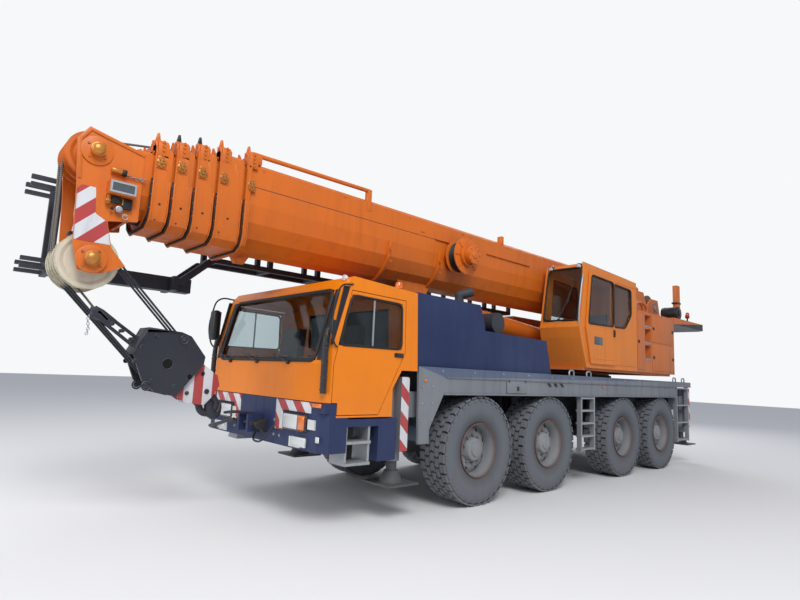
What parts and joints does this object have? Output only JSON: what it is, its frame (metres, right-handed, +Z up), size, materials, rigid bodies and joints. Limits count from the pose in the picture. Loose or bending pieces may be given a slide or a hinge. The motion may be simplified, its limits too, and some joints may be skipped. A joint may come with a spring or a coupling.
{
  "type": "mobile crane",
  "caption": "Four-axle all-terrain mobile crane with driving cab, slewing superstructure, operator cabin and telescopic boom, stowed for the road.",
  "frame": {"origin": "on the ground under the middle of the stowed crane", "axes": "+X to the front of the vehicle, +Y to its left, +Z up"},
  "size_m": [13.53, 2.76, 4.09],
  "materials": {
    "orange_paint": "satin, weathered",
    "cab_orange_paint": "gloss, clean",
    "navy_paint": "satin",
    "deck_grey_paint": "dusty satin",
    "chassis_dark": "matt, dusty",
    "engine_cast": "oily matt",
    "step_zinc": "dull zinc",
    "jack_stripes": "white and red stripes",
    "jack_steel": "worn grey",
    "tyre_rubber": "dusty matt",
    "window_glass": "clear",
    "trim_dark": "matt",
    "lamp_glass": "clear",
    "sheave_ivory": "worn satin",
    "rod_chrome": "polished",
    "block_black": "scratched gloss",
    "jib_dark": "matt",
    "rope_drum": "greasy"
  },
  "bodies": {
    "carrier": {"carrier_frame": "chassis_dark", "axles": "chassis_dark", "engine_and_driveline": "engine_cast", "deck_and_fenders": "deck_grey_paint", "engine_cover": "navy_paint", "exhaust_and_filter": "chassis_dark", "cab_shell": "cab_orange_paint", "cab_glass": "window_glass", "cab_interior": "trim_dark", "front_bumper": "navy_paint", "lamps": "lamp_glass", "steps_and_ladders": "step_zinc"},
    "superstructure": {"slew_frame": "orange_paint", "operator_cabin": "orange_paint", "cabin_glass": "window_glass", "cabin_seat": "trim_dark", "machinery_housing": "orange_paint", "winch": "rope_drum"},
    "cabin_door": {"cabin_door": "orange_paint", "cabin_door_glass": "window_glass"},
    "boom": {"boom_base": "orange_paint", "folding_jib": "jib_dark"},
    "luffing_barrel": {"luffing_barrel": "orange_paint"},
    "luffing_rod": {"luffing_rod": "rod_chrome"},
    "section_5": {"boom_section_5": "orange_paint", "boom_head": "orange_paint", "sheaves": "sheave_ivory"},
    "hook_block": {"hook_block": "block_black"},
    "section_1": {"boom_section_1": "orange_paint"},
    "section_2": {"boom_section_2": "orange_paint"},
    "section_3": {"boom_section_3": "orange_paint"},
    "section_4": {"boom_section_4": "orange_paint"},
    "cab_door_left": {"cab_door_left": "cab_orange_paint", "cab_door_glass_left": "window_glass"},
    "cab_door_right": {"cab_door_right": "cab_orange_paint", "cab_door_glass_right": "window_glass"},
    "beam_front_left": {"outrigger_beam_front_left": "jack_stripes"},
    "jack_front_left": {"outrigger_jack_front_left": "jack_steel"},
    "beam_front_right": {"outrigger_beam_front_right": "jack_stripes"},
    "jack_front_right": {"outrigger_jack_front_right": "jack_steel"},
    "beam_rear_left": {"outrigger_beam_rear_left": "jack_stripes"},
    "jack_rear_left": {"outrigger_jack_rear_left": "jack_steel"},
    "beam_rear_right": {"outrigger_beam_rear_right": "jack_stripes"},
    "jack_rear_right": {"outrigger_jack_rear_right": "jack_steel"},
    "knuckle_1_left": {"knuckle_1_left": "chassis_dark"},
    "wheel_1_left": {"wheel_1_left": "tyre_rubber"},
    "knuckle_1_right": {"knuckle_1_right": "chassis_dark"},
    "wheel_1_right": {"wheel_1_right": "tyre_rubber"},
    "knuckle_2_left": {"knuckle_2_left": "chassis_dark"},
    "wheel_2_left": {"wheel_2_left": "tyre_rubber"},
    "knuckle_2_right": {"knuckle_2_right": "chassis_dark"},
    "wheel_2_right": {"wheel_2_right": "tyre_rubber"},
    "knuckle_3_left": {"knuckle_3_left": "chassis_dark"},
    "wheel_3_left": {"wheel_3_left": "tyre_rubber"},
    "knuckle_3_right": {"knuckle_3_right": "chassis_dark"},
    "wheel_3_right": {"wheel_3_right": "tyre_rubber"},
    "knuckle_4_left": {"knuckle_4_left": "chassis_dark"},
    "wheel_4_left": {"wheel_4_left": "tyre_rubber"},
    "knuckle_4_right": {"knuckle_4_right": "chassis_dark"},
    "wheel_4_right": {"wheel_4_right": "tyre_rubber"}
  },
  "joints": [
    {"name": "slew", "type": "hinge", "parent": "carrier", "child": "superstructure", "pos_m": [-2.815, 0, 1.84], "axis": [0, 0, 1], "continuous": true},
    {"name": "boom_luff", "type": "hinge", "parent": "superstructure", "child": "boom", "pos_m": [-4.765, 0, 3.5], "axis": [0, -1, 0], "range_deg": [0, 80]},
    {"name": "cylinder_pivot", "type": "hinge", "parent": "superstructure", "child": "luffing_barrel", "pos_m": [-2.665, 0, 2.38], "axis": [0, -1, 0], "range_deg": [0, 88]},
    {"name": "cylinder_stroke", "type": "slide", "parent": "luffing_barrel", "child": "luffing_rod", "axis": [0.9964, 0, 0.0848], "range_m": [0, 3]},
    {"name": "telescope_1", "type": "slide", "parent": "boom", "child": "section_1", "axis": [1, 0, 0], "range_m": [0, 7]},
    {"name": "telescope_2", "type": "slide", "parent": "section_1", "child": "section_2", "axis": [1, 0, 0], "range_m": [0, 7]},
    {"name": "telescope_3", "type": "slide", "parent": "section_2", "child": "section_3", "axis": [1, 0, 0], "range_m": [0, 7]},
    {"name": "telescope_4", "type": "slide", "parent": "section_3", "child": "section_4", "axis": [1, 0, 0], "range_m": [0, 7]},
    {"name": "telescope_5", "type": "slide", "parent": "section_4", "child": "section_5", "axis": [1, 0, 0], "range_m": [0, 7]},
    {"name": "hook_swing", "type": "hinge", "parent": "section_5", "child": "hook_block", "pos_m": [6.335, 0, 2.56], "axis": [0, -1, 0], "range_deg": [-36, 46]},
    {"name": "cabin_door_slide", "type": "slide", "parent": "superstructure", "child": "cabin_door", "axis": [-1, 0, 0], "range_m": [0, 0.85]},
    {"name": "cab_door_left_hinge", "type": "hinge", "parent": "carrier", "child": "cab_door_left", "pos_m": [4.235, 1.369, 1.45], "axis": [0, 0, -1], "range_deg": [0, 68]},
    {"name": "cab_door_right_hinge", "type": "hinge", "parent": "carrier", "child": "cab_door_right", "pos_m": [4.235, -1.369, 1.45], "axis": [0, 0, 1], "range_deg": [0, 68]},
    {"name": "beam_front_left_slide", "type": "slide", "parent": "carrier", "child": "beam_front_left", "axis": [0, 1, 0], "range_m": [0, 1.85]},
    {"name": "jack_front_left_stroke", "type": "slide", "parent": "beam_front_left", "child": "jack_front_left", "axis": [0, 0, -1], "range_m": [0, 0.5]},
    {"name": "beam_front_right_slide", "type": "slide", "parent": "carrier", "child": "beam_front_right", "axis": [0, -1, 0], "range_m": [0, 1.85]},
    {"name": "jack_front_right_stroke", "type": "slide", "parent": "beam_front_right", "child": "jack_front_right", "axis": [0, 0, -1], "range_m": [0, 0.5]},
    {"name": "beam_rear_left_slide", "type": "slide", "parent": "carrier", "child": "beam_rear_left", "axis": [0, 1, 0], "range_m": [0, 1.85]},
    {"name": "jack_rear_left_stroke", "type": "slide", "parent": "beam_rear_left", "child": "jack_rear_left", "axis": [0, 0, -1], "range_m": [0, 0.5]},
    {"name": "beam_rear_right_slide", "type": "slide", "parent": "carrier", "child": "beam_rear_right", "axis": [0, -1, 0], "range_m": [0, 1.85]},
    {"name": "jack_rear_right_stroke", "type": "slide", "parent": "beam_rear_right", "child": "jack_rear_right", "axis": [0, 0, -1], "range_m": [0, 0.5]},
    {"name": "steer_1_left", "type": "hinge", "parent": "carrier", "child": "knuckle_1_left", "pos_m": [1.835, 1, 0.695], "axis": [0, 0, 1], "range_deg": [-34, 34]},
    {"name": "spin_1_left", "type": "hinge", "parent": "knuckle_1_left", "child": "wheel_1_left", "pos_m": [1.835, 1.145, 0.695], "axis": [0, 1, 0], "continuous": true},
    {"name": "steer_1_right", "type": "hinge", "parent": "carrier", "child": "knuckle_1_right", "pos_m": [1.835, -1, 0.695], "axis": [0, 0, 1], "range_deg": [-35, 35]},
    {"name": "spin_1_right", "type": "hinge", "parent": "knuckle_1_right", "child": "wheel_1_right", "pos_m": [1.835, -1.145, 0.695], "axis": [0, 1, 0], "continuous": true},
    {"name": "steer_2_left", "type": "hinge", "parent": "carrier", "child": "knuckle_2_left", "pos_m": [0.185, 1, 0.695], "axis": [0, 0, 1], "range_deg": [-26.5, 26.5]},
    {"name": "spin_2_left", "type": "hinge", "parent": "knuckle_2_left", "child": "wheel_2_left", "pos_m": [0.185, 1.145, 0.695], "axis": [0, 1, 0], "continuous": true},
    {"name": "steer_2_right", "type": "hinge", "parent": "carrier", "child": "knuckle_2_right", "pos_m": [0.185, -1, 0.695], "axis": [0, 0, 1], "range_deg": [-26.5, 26.5]},
    {"name": "spin_2_right", "type": "hinge", "parent": "knuckle_2_right", "child": "wheel_2_right", "pos_m": [0.185, -1.145, 0.695], "axis": [0, 1, 0], "continuous": true},
    {"name": "steer_3_left", "type": "hinge", "parent": "carrier", "child": "knuckle_3_left", "pos_m": [-2.255, 1, 0.695], "axis": [0, 0, 1], "range_deg": [-15, 15]},
    {"name": "spin_3_left", "type": "hinge", "parent": "knuckle_3_left", "child": "wheel_3_left", "pos_m": [-2.255, 1.145, 0.695], "axis": [0, 1, 0], "continuous": true},
    {"name": "steer_3_right", "type": "hinge", "parent": "carrier", "child": "knuckle_3_right", "pos_m": [-2.255, -1, 0.695], "axis": [0, 0, 1], "range_deg": [-15, 15]},
    {"name": "spin_3_right", "type": "hinge", "parent": "knuckle_3_right", "child": "wheel_3_right", "pos_m": [-2.255, -1.145, 0.695], "axis": [0, 1, 0], "continuous": true},
    {"name": "steer_4_left", "type": "hinge", "parent": "carrier", "child": "knuckle_4_left", "pos_m": [-3.905, 1, 0.695], "axis": [0, 0, 1], "range_deg": [-28, 28]},
    {"name": "spin_4_left", "type": "hinge", "parent": "knuckle_4_left", "child": "wheel_4_left", "pos_m": [-3.905, 1.145, 0.695], "axis": [0, 1, 0], "continuous": true},
    {"name": "steer_4_right", "type": "hinge", "parent": "carrier", "child": "knuckle_4_right", "pos_m": [-3.905, -1, 0.695], "axis": [0, 0, 1], "range_deg": [-29, 29]},
    {"name": "spin_4_right", "type": "hinge", "parent": "knuckle_4_right", "child": "wheel_4_right", "pos_m": [-3.905, -1.145, 0.695], "axis": [0, 1, 0], "continuous": true}
  ],
  "couplings": [
    {"joint": "steer_1_right", "follows": "steer_1_left", "ratio": 1},
    {"joint": "steer_2_left", "follows": "steer_1_left", "ratio": 0.75},
    {"joint": "steer_2_right", "follows": "steer_1_left", "ratio": 0.75},
    {"joint": "steer_4_right", "follows": "steer_4_left", "ratio": 1},
    {"joint": "steer_3_left", "follows": "steer_4_left", "ratio": 0.5},
    {"joint": "steer_3_right", "follows": "steer_4_left", "ratio": 0.5},
    {"joint": "cylinder_pivot", "follows": "boom_luff", "ratio": 1.0838},
    {"joint": "cylinder_stroke", "follows": "boom_luff", "m_per_rad": 2.1325},
    {"joint": "telescope_2", "follows": "telescope_1", "ratio": 1},
    {"joint": "telescope_3", "follows": "telescope_1", "ratio": 1},
    {"joint": "telescope_4", "follows": "telescope_1", "ratio": 1},
    {"joint": "telescope_5", "follows": "telescope_1", "ratio": 1}
  ]
}
